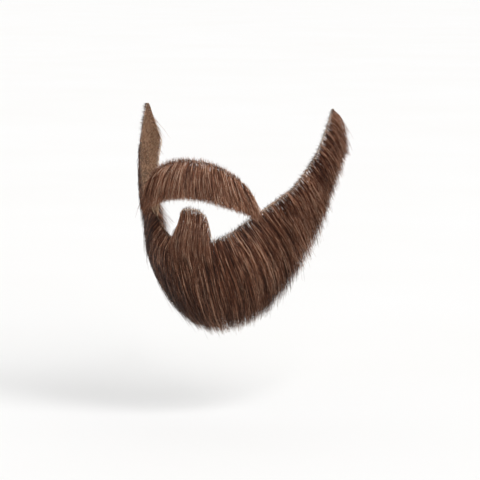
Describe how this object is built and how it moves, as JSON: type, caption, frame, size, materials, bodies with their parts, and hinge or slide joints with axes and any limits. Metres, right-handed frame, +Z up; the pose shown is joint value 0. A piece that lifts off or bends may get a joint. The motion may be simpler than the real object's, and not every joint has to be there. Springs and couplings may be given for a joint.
{
  "type": "false beard with moustache",
  "caption": "Full false beard with moustache, soul patch, chin brush and jaw pieces rising to sideburns, tied in a thin lace that is stuck to the lower face.",
  "frame": {"origin": "middle of the upper lip, on the lace's inner face, where the piece is pressed onto the face", "axes": "+Z up the face, -Y the way the face looks, +X the wearer's left"},
  "size_m": [0.1484, 0.1054, 0.1488],
  "materials": {
    "lace": "tan net, matt and see-through",
    "moustache_hair": "brown hair with a soft shine",
    "beard_hair": "dark brown hair with a soft shine"
  },
  "bodies": {
    "root": {"lace_base": "lace", "moustache_hair": "moustache_hair", "soul_patch_hair": "moustache_hair", "chin_hair": "beard_hair", "jaw_hair_left": "beard_hair", "jaw_hair_right": "beard_hair"}
  },
  "joints": []
}
